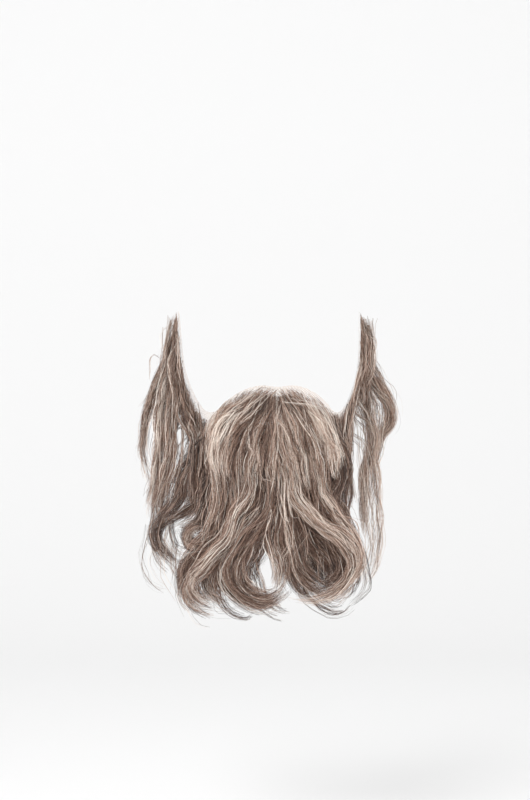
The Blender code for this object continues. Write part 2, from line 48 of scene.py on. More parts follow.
rng = np.random.default_rng(20)

# The camera: the place that the picture's middle shows (x, z), and the height that it shows there
CAMERA_AZIMUTH = math.radians(-4.0)
CAMERA_DISTANCE = 1600.0
VIEW_CENTRE = (-9.0, 39.75)
VIEW_HEIGHT = 600.0
SENSOR_HEIGHT = 24

# The stage, in metres: a floor with a bend up into a backdrop. Lights: name, place, size, power
STAGE_REACH = 4.0
STAGE_FLOOR = -0.30
STAGE_BACK = 2.0
STAGE_BEND = 0.8
STAGE_BEND_STEPS = 12
LIGHTS = [("key", (-0.9, -1.5, 1.3), 1.2, 26), ("fill", (1.3, -1.4, 0.5), 1.5, 12)]

# The face that the lace lies on: its half width and how deep its front lies, at some heights
FACE_HALF_WIDTH = 72.0
EAR_DEPTH = 92.0
SIDEBURN_RISE = 110.0
QUARTER = math.pi / 2
FACE_HEIGHTS = np.array([-0.30, -0.22, -0.14, 0.00, 0.25, 0.48, 1.02]) * SIDEBURN_RISE
FACE_WIDTHS = np.array([0.48, 0.58, 0.69, 0.79, 0.89, 0.97, 1.00]) * FACE_HALF_WIDTH
FACE_FRONTS = np.array([0.33, 0.19, 0.07, 0.00, -0.03, -0.07, -0.02]) * EAR_DEPTH

# The lace: its lower and upper edge at some turns, its net, and the slot for the mouth
EDGE_TURNS = np.array([0.00, 0.12, 0.28, 0.40, 0.50, 0.62, 0.71, 0.78, 0.84, 0.89, 0.97])
EDGE_BOTTOMS = SIDEBURN_RISE * np.array(
    [-0.20, -0.20, -0.19, -0.17, -0.13, -0.06, 0.05, 0.13, 0.22, 0.32, 0.50]
)
EDGE_TOPS = SIDEBURN_RISE * np.array(
    [0.45, 0.46, 0.41, 0.34, 0.28, 0.31, 0.44, 0.60, 0.82, 0.96, 1.00]
)
LACE_END = 0.97
LACE_COLUMNS = 161
LACE_ROWS = 14
LACE_WALL = 1.0
LACE_MEASURED_AT = 20.0
NET_CELL = 1.25
KNOT_PITCH = 2.2
MOUTH_HALF_WIDTH = 25.0
MOUTH_HALF_HEIGHT = 6.5
MOUTH_RISE = 27.5

# How wide the lace is left almost bare under its upper edge: all round, and how much more on the
# left cheek and the right lip. Then the width over which it fills, and the share of roots kept in
# the bare margin.
BARE = 1.5
BARE_CHEEK = 11.0
BARE_LIP = 3.5
BARE_FADE = 8
BARE_ROOTS = 0.04


def smooth_curve(x, y, at):
    """The smooth curve through the points (x, y), read at the given places, level past its ends."""
    at = np.clip(np.asarray(at, float), x[0], x[-1])
    slope = np.gradient(y, x)
    i = np.clip(np.searchsorted(x, at) - 1, 0, len(x) - 2)
    step = x[i + 1] - x[i]
    t = (at - x[i]) / step
    start = (1 + 2 * t) * (1 - t) ** 2 * y[i] + t * (1 - t) ** 2 * step * slope[i]
    end = t**2 * (3 - 2 * t) * y[i + 1] + t**2 * (t - 1) * step * slope[i + 1]
    return start + end


def smooth_step(low, high, at):
    """0 up to low, 1 from high on, and a smooth rise between."""
    t = np.clip((np.asarray(at, float) - low) / (high - low), 0, 1)
    return t * t * (3 - 2 * t)


def run_lengths(line):
    """How far along the line each of its points lies."""
    return np.concatenate([[0], np.cumsum(np.linalg.norm(np.diff(line, axis=0), axis=1))])


def face_section(z):
    """The face's half width and the depth of its front, at height z."""
    return smooth_curve(FACE_HEIGHTS, FACE_WIDTHS, z), smooth_curve(FACE_HEIGHTS, FACE_FRONTS, z)


def face_surface(turn, z):
    """Places on the face."""
    half_width, front = face_section(z)
    angle = np.asarray(turn) * QUARTER
    y = EAR_DEPTH - (EAR_DEPTH - front) * np.cos(angle)
    return np.stack([half_width * np.sin(angle), y, z + 0 * angle], -1)


def from_axis(places):
    """Level vectors to the places from the upright axis between the ears."""
    away = places - np.array([0, EAR_DEPTH, 0])
    away[..., 2] = 0
    return away


def outward(places):
    """The level direction away from the face at each place."""
    away = from_axis(places)
    return away / np.linalg.norm(away, axis=-1)[..., None]


def lace_edges(turn):
    """The heights of the lace's lower and upper edge."""
    turn = np.abs(turn)
    return smooth_curve(EDGE_TURNS, EDGE_BOTTOMS, turn), smooth_curve(EDGE_TURNS, EDGE_TOPS, turn)


def mouth_half_height(x):
    """Half the height of the slot for the mouth, at the given places across it."""
    return MOUTH_HALF_HEIGHT * np.sqrt(np.clip(1 - (x / MOUTH_HALF_WIDTH) ** 2, 0, 1))


def bare_margin(turn):
    """How wide the lace is left almost bare under its upper edge."""
    cheek = smooth_step(-0.96, -0.86, turn) * (1 - smooth_step(-0.52, -0.42, turn))
    lip = smooth_step(0.04, 0.18, turn) * (1 - smooth_step(0.40, 0.50, turn))
    return BARE + BARE_CHEEK * cheek + BARE_LIP * lip


def push_out(p, lift):
    """Moves points inside the face out of it along its level rays. It fades out below the lace."""
    half_width, front = face_section(p[..., 2])
    deep = EAR_DEPTH - p[..., 1]
    reach = np.hypot(p[..., 0] / (half_width + lift), np.maximum(deep, 0) / (EAR_DEPTH - front + lift))
    ahead = np.maximum(deep, 1e-3) / (EAR_DEPTH - front)
    turn = np.arctan2(np.abs(p[..., 0]) / half_width, ahead) / QUARTER
    low = smooth_curve(EDGE_TURNS, EDGE_BOTTOMS, np.clip(turn, 0, LACE_END))
    on_face = smooth_step(low - 14, low - 2, p[..., 2])
    grow = np.where(reach < 1, 1 + on_face * (1 / np.maximum(reach, 0.2) - 1), 1.0)
    out = p.copy()
    out[..., 0] = p[..., 0] * grow
    out[..., 1] = np.where(deep > 0, EAR_DEPTH - deep * grow, p[..., 1])
    return out


# A lock: tone from dark 0 to pale 1, apparent width, thickness front to back, its depth at the
# start, middle and end, the length of it that grows from the lace, the places (x, z) it passes
# through as seen in the photo, and how full of hair it is. A lock with less than FREE_BELOW
# growing from the lace takes no roots there: its strands start in its own first stretch.
Lock = namedtuple("Lock", "tone wide deep depth rooted way full", defaults=(1.0,))
FREE_BELOW = 12

# The inner moustache locks, which hang down over the chin below the mouth, have their tones set lower:
# painted shade beneath the moustache, on top of their own colour
MOUSTACHE = [
    Lock(0.76, 9, 6, (-2, -10, -8), 30,
         [(-3, 50), (-10, 47), (-20, 42), (-30, 34), (-40, 26), (-46, 16), (-48, 4), (-47, -8),
          (-45, -20), (-43, -32)]),
    Lock(0.51, 9, 7, (-3, -13, -12), 22,
         [(-3, 48), (-9, 42), (-18, 34), (-28, 24), (-36, 12), (-40, 0), (-40, -12), (-38, -24),
          (-38, -34)]),
    Lock(0.43, 9, 7, (-3, -14, -14), 16,
         [(-2, 47), (-7, 38), (-14, 27), (-22, 15), (-28, 2), (-30, -10), (-29, -22), (-28, -32)]),
    Lock(0.55, 10, 7, (-3, -14, -15), 14,
         [(-2, 46), (-6, 36), (-12, 24), (-17, 10), (-19, -3), (-21, -14), (-20, -26)]),
    Lock(0.33, 8, 7, (-3, -14, -14), 12,
         [(-1, 45), (-3, 33), (-5, 20), (-7, 6), (-8, -8), (-9, -20)]),
    Lock(0.74, 8, 5, (-1, -6, -6), 40,
         [(-12, 50), (-22, 46), (-31, 39), (-40, 31), (-47, 22), (-50, 10), (-50, -2), (-48, -14)]),
    Lock(0.88, 8, 6, (-2, -9, -8), 34,
         [(-8, 51), (-16, 45), (-26, 37), (-35, 27), (-42, 16), (-45, 4), (-45, -10), (-43, -24)]),
    Lock(0.78, 9, 6, (-2, -10, -8), 28,
         [(2, 48), (9, 46), (18, 40), (26, 32), (33, 22), (38, 10), (41, -2), (43, -14), (44, -24)]),
    Lock(0.47, 9, 7, (-3, -13, -12), 20,
         [(1, 47), (6, 40), (13, 30), (20, 18), (26, 6), (29, -6), (31, -18), (33, -30), (38, -40)]),
    Lock(0.43, 9, 7, (-3, -14, -14), 15,
         [(1, 46), (4, 36), (8, 24), (13, 11), (17, -1), (20, -14), (23, -28), (28, -38)]),
    Lock(0.55, 9, 7, (-3, -14, -15), 12,
         [(0, 45), (2, 34), (4, 22), (6, 9), (9, -3), (12, -16), (14, -28)]),
    Lock(0.5, 8, 6, (-3, -12, -13), 16,
         [(0, 48), (0, 38), (-1, 27), (-2, 14), (-3, 0), (-4, -14), (-5, -24)], 1.5),
    Lock(0.35, 12, 7, (-2, -11, -12), 16,
         [(-4, 46), (-10, 38), (-17, 29), (-24, 19), (-30, 8), (-33, -4), (-33, -16)], 1.8),
    Lock(0.35, 12, 7, (-2, -11, -12), 16,
         [(5, 47), (8, 37), (12, 27), (16, 14), (19, 0), (22, -14)], 1.6),
    Lock(0.56, 8, 5, (-1, -6, -4), 34,
         [(8, 49), (16, 44), (25, 36), (33, 28), (39, 18), (44, 6), (48, -6), (49, -16)]),
    Lock(0.68, 8, 6, (-2, -9, -7), 30,
         [(5, 49), (12, 43), (21, 34), (29, 24), (35, 12), (38, 0), (41, -12), (43, -22)]),
]

# The chin's lock tones are set somewhat lower, in part as painted shade beneath the moustache
CHIN = [
    Lock(0.57, 8, 6, (-8, -13, -12), 12,
         [(-3, 20), (-3, 10), (3, 0), (8, -8), (11, -20), (15, -32), (22, -43), (31, -52), (42, -61),
          (52, -70), (57, -79), (56, -89), (51, -99), (43, -106), (30, -110), (17, -110), (9, -106)]),
    Lock(0.27, 10, 9, (-4, -3, -5), 22,
         [(14, 16), (15, 2), (17, -12), (20, -26), (27, -38), (36, -48), (46, -58), (53, -68),
          (55, -80), (53, -92), (46, -101), (35, -106), (22, -107)]),
    Lock(0.22, 9, 9, (-4, -5, -8), 20,
         [(20, 12), (22, -6), (22, -24), (22, -40), (24, -54), (32, -63), (40, -71), (46, -80),
          (45, -88), (38, -93), (30, -90)]),
    Lock(0.19, 8, 9, (-2, -2, -5), 20,
         [(18, 10), (20, -8), (20, -26), (21, -42), (26, -56), (34, -65), (43, -73), (49, -83),
          (46, -92), (38, -97), (29, -95), (24, -89)]),
    Lock(0.17, 9, 9, (-1, -1, -3), 20,
         [(14, 8), (15, -12), (16, -30), (16, -46), (18, -60), (24, -72), (30, -82), (37, -89),
          (45, -91)]),
    Lock(0.29, 12, 10, (-5, -6, -8), 20,
         [(6, 14), (7, -6), (8, -24), (8, -42), (9, -60), (13, -74), (17, -86), (25, -96), (34, -103),
          (45, -103)]),
    Lock(0.19, 11, 10, (-3, -2, -4), 20,
         [(10, 10), (11, -10), (12, -28), (13, -45), (14, -60), (19, -72), (24, -83), (30, -93),
          (39, -99)]),
    Lock(0.22, 10, 10, (-3, -3, -5), 20,
         [(2, 10), (3, -10), (4, -28), (4, -45), (6, -62), (9, -76), (11, -88), (16, -99), (26, -107),
          (38, -108)]),
    Lock(0.45, 11, 9, (-6, -9, -10), 22,
         [(0, 16), (0, 0), (0, -15), (-1, -30), (-2, -45), (-3, -58), (-2, -72), (2, -84), (3, -94),
          (-1, -103), (-5, -107)]),
    Lock(0.27, 9, 9, (-6, -10, -12), 20,
         [(-12, 14), (-9, 0), (-8, -10), (-5, -25), (-5, -38), (-12, -48), (-22, -58), (-31, -70),
          (-37, -82), (-38, -94), (-33, -103), (-24, -110), (-13, -114), (-1, -111), (6, -105)], 1.4),
    Lock(0.37, 7, 8, (-5, -7, -10), 20,
         [(-17, 14), (-15, 0), (-13, -15), (-10, -30), (-10, -42), (-14, -52), (-19, -62), (-25, -76),
          (-28, -90), (-24, -100), (-14, -106), (-3, -106), (4, -100)]),
    Lock(0.19, 8, 9, (-3, -4, -6), 20,
         [(-7, 8), (-8, -8), (-12, -25), (-14, -38), (-18, -50), (-26, -62), (-33, -76), (-35, -90),
          (-31, -100), (-22, -107), (-10, -111)]),
    Lock(0.16, 12, 10, (0, -2, -4), 20,
         [(-4, 0), (-6, -20), (-8, -45), (-11, -60), (-16, -75), (-21, -88), (-19, -100), (-10, -108)], 0.5),
    Lock(0.37, 7, 8, (-6, -9, -10), 20,
         [(-4, 8), (-6, -12), (-8, -32), (-10, -48), (-17, -60), (-25, -72), (-31, -86), (-30, -98),
          (-23, -106), (-12, -110), (-1, -108), (6, -101), (9, -94)], 1.4),
    Lock(0.16, 9, 9, (-2, -4, -6), 20,
         [(16, 2), (17, -20), (18, -42), (22, -58), (30, -70), (37, -78), (41, -86), (38, -95),
          (30, -98)], 1.0),
    Lock(0.16, 14, 12, (2, 0, -2), 20,
         [(24, 0), (26, -20), (27, -42), (31, -60), (36, -76), (36, -92), (26, -102)], 1.0),
    Lock(0.5, 9, 9, (-5, -10, -12), 20,
         [(-24, 16), (-23, 4), (-22, -12), (-19, -20), (-20, -28), (-26, -38), (-30, -45), (-33, -56),
          (-38, -67), (-47, -77), (-56, -86), (-63, -94), (-65, -104), (-59, -112), (-48, -115)], 0.9),
    Lock(0.44, 7, 8, (6, -2, -4), 26,
         [(-49, 26), (-48, 12), (-47, 0), (-46, -10), (-44, -20), (-43, -30), (-45, -40), (-46, -50),
          (-47, -58), (-50, -66), (-56, -71), (-64, -71), (-69, -65), (-67, -58), (-60, -54),
          (-54, -57)], 1.5),
    Lock(0.27, 8, 9, (8, 4, 0), 24,
         [(-45, 8), (-44, -10), (-43, -26), (-45, -42), (-48, -54), (-52, -62), (-58, -66), (-66, -63),
          (-67, -57), (-60, -56), (-56, -61)], 1.0),
    Lock(0.38, 10, 10, (-2, -5, -8), 24,
         [(-37, 20), (-36, 6), (-35, -8), (-33, -22), (-33, -35), (-36, -48), (-42, -60), (-50, -70),
          (-60, -80), (-66, -90), (-66, -101), (-60, -110), (-50, -114), (-42, -113)], 0.8),
    Lock(0.33, 10, 10, (0, 0, -2), 24,
         [(-31, 16), (-30, 0), (-28, -14), (-27, -26), (-29, -38), (-33, -50), (-38, -62), (-43, -74),
          (-49, -86), (-52, -97), (-48, -106), (-40, -110), (-34, -107)], 0.9),
    Lock(0.22, 8, 10, (4, 4, 2), 24,
         [(-43, 20), (-42, 4), (-41, -12), (-39, -26), (-39, -40), (-43, -54), (-52, -66), (-62, -78),
          (-69, -88), (-70, -100), (-66, -110), (-58, -116)], 0.7),
    Lock(0.38, 9, 10, (-3, -4, -6), 22,
         [(-21, 14), (-21, 0), (-24, -16), (-23, -30), (-22, -44), (-26, -56), (-32, -66), (-38, -78),
          (-41, -90), (-38, -101), (-30, -109)]),
    Lock(0.16, 5, 6, (-7, -11, -11), 12,
         [(-10, 2), (-10, -5), (-14, -15), (-10, -24), (-3, -25), (0, -18), (-4, -12)], 0.3),
    Lock(0.39, 8, 9, (-4, -9, -12), 20,
         [(23, 16), (26, 4), (29, -8), (31, -20), (33, -30), (40, -42), (50, -55), (57, -66),
          (61, -76), (60, -88), (53, -97), (44, -101)]),
    Lock(0.22, 9, 10, (2, -2, -3), 26,
         [(37, 22), (40, 8), (43, -4), (46, -14), (46, -22), (42, -30), (41, -40), (46, -52),
          (52, -62), (57, -72), (58, -82)]),
    Lock(0.17, 8, 9, (10, 6, 4), 26,
         [(46, 26), (49, 10), (51, -5), (51, -16), (46, -27), (42, -36), (43, -48), (49, -60),
          (55, -70)]),
    Lock(0.29, 8, 10, (-1, -1, -3), 24,
         [(30, 18), (31, 2), (34, -14), (37, -28), (44, -42), (51, -54), (57, -66), (59, -78),
          (55, -90), (47, -98)]),
    Lock(0.51, 6, 8, (-6, -10, -12), 16,
         [(6, 12), (6, 0), (6, -14), (6, -30), (8, -46), (9, -60), (12, -74), (14, -86), (18, -96)]),
    Lock(0.16, 14, 14, (12, 12, 8), 12,
         [(-30, -8), (-28, -24), (-27, -42), (-30, -60), (-36, -80), (-42, -96)], 0.7),
    Lock(0.16, 14, 14, (11, 10, 6), 12,
         [(-10, -12), (-9, -28), (-8, -45), (-6, -60)], 0.8),
    Lock(0.16, 14, 14, (11, 10, 6), 12,
         [(12, -12), (13, -28), (14, -45), (20, -66), (24, -86), (26, -98)], 0.7),
    Lock(0.16, 14, 14, (13, 12, 8), 12,
         [(32, -8), (34, -24), (37, -40), (43, -58), (48, -74), (50, -90)], 0.7),
    Lock(0.16, 12, 14, (24, 20, 14), 12,
         [(-48, 4), (-49, -14), (-50, -32), (-52, -50), (-56, -66)], 0.7),
    Lock(0.16, 15, 12, (32, 24, 16), 10,
         [(-52, 12), (-53, -6), (-54, -22), (-53, -36), (-50, -48)], 2.0),
    Lock(0.16, 12, 10, (10, 6, 2), 24,
         [(-40, 6), (-42, -12), (-44, -28), (-46, -42), (-47, -56), (-52, -68)], 1.4),
    Lock(0.16, 10, 12, (24, 18, 14), 12,
         [(47, 4), (49, -14), (49, -30), (48, -46), (50, -60)], 0.7),
    Lock(0.17, 10, 12, (-2, -2, -4), 10,
         [(-34, -60), (-42, -84), (-45, -102), (-40, -117), (-32, -124), (-23, -126), (-16, -120),
          (-13, -112)], 0.1),
    Lock(0.17, 12, 12, (-2, -2, -4), 10,
         [(-24, -70), (-18, -98), (-10, -113), (0, -121), (12, -123)], 0.12),
    Lock(0.17, 12, 12, (-2, -2, -4), 10,
         [(20, -80), (24, -104), (34, -115), (48, -117), (58, -110)], 0.12),
    Lock(0.17, 12, 12, (0, 0, -2), 10,
         [(54, -66), (62, -84), (64, -98), (58, -108), (48, -113)], 0.12),
    Lock(0.17, 14, 12, (2, 0, -2), 10,
         [(-60, -74), (-68, -92), (-67, -108), (-58, -118), (-46, -121)], 0.15),
    Lock(0.22, 20, 12, (2, 2, 0), 10,
         [(-44, -66), (-54, -82), (-58, -96), (-54, -108), (-44, -113)], 0.25),
    Lock(0.28, 12, 10, (20, 12, 6), 24,
         [(-50, 8), (-50, -12), (-51, -30), (-55, -43), (-62, -51), (-72, -56)], 0.6),
]

# The locks lying deep in the hollow between the side locks and the front mass take dark tones that include
# painted shade of that hollow
LEFT = [
    Lock(0.5, 6, 9, (80, 80, 78), 30,
         [(-80, 92), (-80, 80), (-82, 68), (-86, 60), (-90, 50), (-93, 40), (-95.5, 30), (-97.5, 20),
          (-99, 10), (-99.5, 0), (-96, -8), (-91, -12)], 1.4),
    Lock(0.54, 7, 12, (76, 72, 66), 34,
         [(-79, 88), (-79, 74), (-80, 66), (-82, 56), (-85, 40), (-87, 30), (-87, 20), (-87, 10),
          (-88, 0), (-89, -10), (-90, -20), (-92, -30), (-94, -38), (-95, -45), (-93, -51)], 1.2),
    Lock(0.54, 7, 12, (72, 62, 54), 40,
         [(-77, 80), (-77, 70), (-78, 60), (-78, 45), (-79, 30), (-79, 10), (-80, 0), (-82, -10),
          (-84, -20), (-87, -30), (-91, -40), (-92, -47), (-89, -53)], 1.2),
    Lock(0.52, 3, 6, (58, 54, 50), 16,
         [(-76, 44), (-75, 20), (-75, 0), (-77, -12), (-79.5, -20), (-82, -38), (-86, -48)]),
    Lock(0.47, 2.5, 6, (56, 50, 46), 16,
         [(-73, 36), (-71, 10), (-72, -6), (-75, -20), (-77, -34), (-82, -44)]),
    Lock(0.26, 9, 14, (60, 46, 36), 44,
         [(-75, 70), (-73, 58), (-72, 46), (-70, 30), (-66, 20), (-62, 12), (-61, 2), (-63, -9),
          (-69, -20), (-73, -34), (-79, -43), (-88, -50)]),
    Lock(0.28, 9, 12, (50, 50, 38), 20,
         [(-62, 4), (-68, -12), (-74, -28), (-79, -40), (-84, -49), (-89, -57), (-89, -66), (-83, -74),
          (-76, -81), (-68, -85)], 0.9),
    Lock(0.54, 6, 9, (66, 60, 46), 8,
         [(-84, 0), (-85, -20), (-87, -38), (-86, -50), (-91, -60), (-89, -70), (-81, -78), (-72, -84)], 0.8),
    Lock(0.2, 3, 7, (46, 42, 32), 14,
         [(-66, 4), (-68, -10), (-74, -30), (-79, -46), (-80, -58), (-77, -68), (-71, -76), (-65, -83)]),
    Lock(0.27, 7, 10, (34, 26, 20), 26,
         [(-57, 24), (-56, 10), (-54, -5), (-50, -18), (-48, -30), (-49, -42), (-56, -51), (-65, -56),
          (-76, -57)], 1.8),
    Lock(0.22, 12, 14, (36, 32, 28), 36,
         [(-61, 36), (-58, 24), (-55, 10), (-55, -5), (-57, -18), (-57, -30), (-58, -40), (-64, -47)], 1.2),
    Lock(0.32, 8, 14, (46, 40, 32), 40,
         [(-69, 50), (-66, 36), (-61, 20), (-58, 5), (-60, -8), (-64, -22), (-66, -34), (-70, -44)]),
    Lock(0.22, 12, 12, (30, 26, 22), 30,
         [(-55, 20), (-52, -4), (-51, -20), (-52, -34), (-57, -46)], 1.3),
    Lock(0.46, 8, 16, (76, 64, 56), 50,
         [(-75, 106), (-76, 94), (-76, 80), (-76, 66), (-75, 52), (-74, 38), (-74, 24)]),
    Lock(0.52, 8, 16, (84, 78, 74), 46,
         [(-77, 110), (-81, 100), (-82, 88), (-81, 74), (-82, 62), (-83, 50), (-82, 38)]),
    Lock(0.4, 8, 12, (54, 44, 36), 40,
         [(-72, 62), (-70, 48), (-68, 36), (-64, 26), (-60, 16), (-58, 4)]),
    Lock(0.52, 5, 8, (80, 82, 78), 8,
         [(-84, 62), (-90, 48), (-96, 32), (-99, 18), (-101, 5), (-100, -6), (-97, -18), (-94, -30)], 0.35),
    Lock(0.52, 7, 8, (86, 82, 78), 11.9,
         [(-75.6, 104), (-77.5, 96), (-79.5, 88), (-81, 76), (-82, 64), (-84, 54), (-87, 44)], 1.1),
    Lock(0.57, 2, 4, (82, 82, 80), 6,
         [(-84, 66), (-88, 70), (-92, 73), (-94, 69)], 0.3),
    Lock(0.32, 4, 8, (64, 58, 48), 8,
         [(-90, -20), (-92, -46), (-93, -64), (-91, -76), (-85, -86), (-78, -92)], 0.5),
    Lock(0.42, 8, 10, (60, 52, 44), 8,
         [(-89, -46), (-95, -66), (-98, -84), (-91, -97), (-80, -103)], 0.1),
    Lock(0.42, 9, 10, (44, 36, 28), 8,
         [(-74, -58), (-78, -74), (-78, -88), (-72, -98), (-62, -104)], 0.15),
    Lock(0.19, 7, 10, (34, 28, 26), 26,
         [(-54, 20), (-53, 6), (-51, -6), (-50, -18), (-53, -29), (-60, -38), (-70, -46), (-80, -51),
          (-88, -54)], 2.0),
    Lock(0.17, 11, 12, (36, 30, 24), 24,
         [(-57, 22), (-56, 4), (-56, -12), (-57, -26), (-60, -38), (-66, -46)], 1.4),
]

RIGHT = [
    Lock(0.54, 6, 10, (80, 80, 78), 40,
         [(70, 96), (69, 86), (68, 74), (69, 62), (76, 50), (83, 40), (86, 30), (85, 22), (80, 14),
          (77, 5), (74, -2)], 1.2),
    Lock(0.58, 4.5, 9, (76, 74, 66), 36,
         [(68, 86), (67, 72), (66, 60), (68, 45), (69, 30), (71, 20), (73, 10), (72, 0), (68, -8),
          (66, -20), (66, -35), (66, -50), (66, -60), (64, -68)]),
    Lock(0.46, 5, 12, (64, 50, 44), 44,
         [(66, 82), (63, 70), (60, 60), (57, 46), (54.5, 32), (53, 20), (52, 10), (51, 0), (50, -12)]),
    Lock(0.4, 8, 14, (46, 38, 34), 50,
         [(56, 64), (53, 54), (50, 43), (48, 30), (47, 15), (47, 0), (46, -15), (42, -28)]),
    Lock(0.61, 3, 6, (80, 82, 80), 20,
         [(72, 82), (73, 70), (77, 60), (81, 52), (86, 42), (88, 32), (87, 22), (83, 15), (79, 8)]),
    Lock(0.44, 7, 14, (56, 44, 36), 46,
         [(62, 74), (59, 60), (55, 46), (53, 32), (52, 18), (51, 4), (50, -10), (48, -24)]),
    Lock(0.5, 8, 16, (84, 74, 66), 46,
         [(67, 110), (70, 100), (71, 86), (69, 70), (67, 58), (64, 46), (62, 38)]),
    Lock(0.48, 3, 7, (58, 54, 48), 16,
         [(58, 56), (56, 38), (56, 20), (55, 5), (55, -15), (57, -30), (60, -44)], 0.4),
    Lock(0.56, 6, 8, (80, 76, 66), 16,
         [(71, 62), (77, 44), (80, 28), (78, 14), (75, 0), (74, -14), (74, -28), (73, -40)], 0.15),
    Lock(0.48, 7, 12, (50, 42, 36), 20,
         [(53, 40), (51, 20), (50, 4), (51, -12), (53, -28), (56, -44)], 0.3),
    Lock(0.56, 12, 12, (72, 66, 58), 20,
         [(68, 60), (71, 42), (74, 24), (74, 8), (72, -10), (72, -30), (73, -48)], 0.12),
    Lock(0.51, 12, 10, (64, 56, 44), 20,
         [(66, 40), (68, 10), (70, -20), (73, -50), (73, -74), (68, -92), (58, -104)], 0.12),
    Lock(0.56, 6, 8, (86, 82, 78), 11.9,
         [(65.6, 104), (67.2, 96), (69, 88), (70, 76), (69, 64), (68, 52)], 1.1),
]

# A mass of hair: its locks, its number of strands and the step between the points along each, the
# turns of the lace that they grow from, and whether above or below the mouth, how far a hair goes
# before it has joined its lock, the shortest hair as a share of its lock, the share of wisps that
# stray and how far those wander, the size of the waves, and the material slot
Mass = namedtuple("Mass", "name locks strands step turns band join shortest strays wander waves slot")
MASSES = [
    Mass("moustache_hair", MOUSTACHE, 6300, 6.0, (0.0, 0.50), "upper",
         30, 0.42, 0.10, 4.0, 0.5, "moustache_hair"),
    Mass("chin_hair", CHIN, 13800, 6.0, (0.0, 0.52), "lower",
         30, 0.86, 0.13, 5.0, 0.75, "chin_hair"),
    Mass("left_whisker", LEFT, 5200, 6.5, (-LACE_END, -0.42), "both",
         18, 0.84, 0.09, 3.5, 0.75, "side_hair"),
    Mass("right_whisker", RIGHT, 3400, 6.5, (0.42, LACE_END), "both",
         18, 0.84, 0.09, 3.5, 0.75, "side_hair"),
]

# Short hairs along the upper edge of the lace: the turns they grow at, and how many
Edge = namedtuple("Edge", "name low high count node slot")
EDGES = [
    Edge("moustache_edge", 0.0, 0.5, 1700, "moustache_hair", "moustache_hair"),
    Edge("left_edge", -LACE_END, -0.5, 1000, "left_whisker", "side_hair"),
    Edge("right_edge", 0.5, LACE_END, 1000, "right_whisker", "side_hair"),
]
EDGE_HAIR_POINTS = 5
EDGE_HAIR_WIDTH = 0.2

# Roots tried on the lace for each mass, how far past a lock's rooted length they may join it, how
# evenly they are shared between locks, and how far hair lies off the lace at its root and beyond
ROOTS_TRIED = 6000
ROOT_REACH = 12
ROOT_SHARING = 4.0
ROOT_LIFT = 0.3
HAIR_LIFT = 2.0

# Strands: the section of a lock that one clump fills, the strands in a wisp, the spread of the
# strands in a wisp at shares of their length, how much more strays spread, how much of a lock's
# width its wisps fill, the shortest strand, and the shortest stray as a share of its lock
CLUMP_AREA = 11
WISP = 4.5
WISP_SPREAD = 1.05
WISP_SPREAD_AT = (0, 0.15, 0.5, 1.0)
WISP_SPREADS = (1.1, 0.7, 0.5, 0.75)
STRAY_SPREAD = 3.0
LOCK_FILL = 0.68
SHORTEST_STRAND = 22
SHORTEST_STRAY = 0.55

# The lengths of waves, and how far a wisp's waves are shifted in phase from its clump's. Then the
# distances from the root over which hair loosens and wanders, and the size of a strand's ripples.
WAVE_LENGTHS = (24, 42)
WAVE_SHIFT = 0.45
LOOSENS = (2, 30)
WANDERS = (10, 80)
STRAND_RIPPLE = 0.34

# At shares of a lock's length: how thick it is, and how far its wisps are drawn into clumps
BODY_AT = (0, 0.2, 0.6, 0.9, 1.0)
BODY = (1.0, 1.2, 1.2, 1.1, 1.0)
CLUMPED_AT = (0, 0.3, 1.0)
CLUMPED = (0.1, 0.3, 0.44)
STRAY_CLUMPED = 0.1

# How tones differ between clumps, wisps and strands, and the strands that are greyed
CLUMP_TONE = 0.07
WISP_TONE = 0.11
PALE_WISPS = 0.06
PALE_WISP = 0.2
STRAND_TONE = 0.17
GREY_SHARE = 0.2
GREYED = 0.46

# How far hair goes to the sides and down, and how far strays may pass that
SIDE_REACH = 104.0
FOOT_REACH = 122.0
STRAY_REACH = 8.0

# A strand's width, its taper at shares of its length, and the most triangles to a piece
HAIR_WIDTH = 0.25
TAPER_AT = (0.0, 0.15, 0.4, 0.75, 1.0)
TAPER = (1.2, 1.1, 1.0, 0.9, 0.45)
PIECE_TRIANGLES = 195000


def srgb(*rgb):
    """A colour in 0 to 255 as the linear values that a shader takes."""
    return tuple(((c / 255 + 0.055) / 1.055) ** 2.4 if c > 10 else c / 3294.6 for c in rgb) + (1.0,)


# Hair colours from dark to pale, how dark a root is beside them, and the unevenness of a strand
HAIR_COLOURS = [
    (0.0, srgb(46, 31, 24)),
    (0.3, srgb(98, 72, 59)),
    (0.55, srgb(159, 129, 112)),
    (0.78, srgb(215, 189, 173)),
    (1.0, srgb(255, 246, 235)),
]
ROOT_SHADE = 0.68
ROOT_SHADE_ENDS = 0.45
UNEVEN = 0.34
UNEVEN_SCALE = (90, 7, 1)
LACE_COLOURS = [(0.35, srgb(208, 164, 126)), (0.7, srgb(230, 196, 160))]
KNOT_COLOUR = srgb(96, 74, 60)


def seen(points, depth):
    """World points that the camera sees at the given places, at the given depths."""
    points = np.asarray(points, float)
    near = 1 + depth / CAMERA_DISTANCE
    x = (points[:, 0] * near - depth * math.sin(CAMERA_AZIMUTH)) / math.cos(CAMERA_AZIMUTH)
    z = VIEW_CENTRE[1] + (points[:, 1] - VIEW_CENTRE[1]) * near
    return np.stack([x, depth, z], axis=1)


def lock_line(lock):
    """The lock's middle line in the world, and how far along it each point lies."""
    way = np.asarray(lock.way, float)
    chord = run_lengths(way)
    at = np.linspace(0, chord[-1], 120)
    way = np.stack([smooth_curve(chord, way[:, k], at) for k in range(2)], 1)
    along = run_lengths(way)
    depth = smooth_curve(np.array([0, 0.45, 1.0]), np.array(lock.depth, float), along / along[-1])
    line = seen(way, depth)
    return line, run_lengths(line)


def read_line(along, values, at):
    """Values given along a line, read at the given lengths along it."""
    return np.stack([np.interp(at, along, values[:, k]) for k in range(3)], -1)


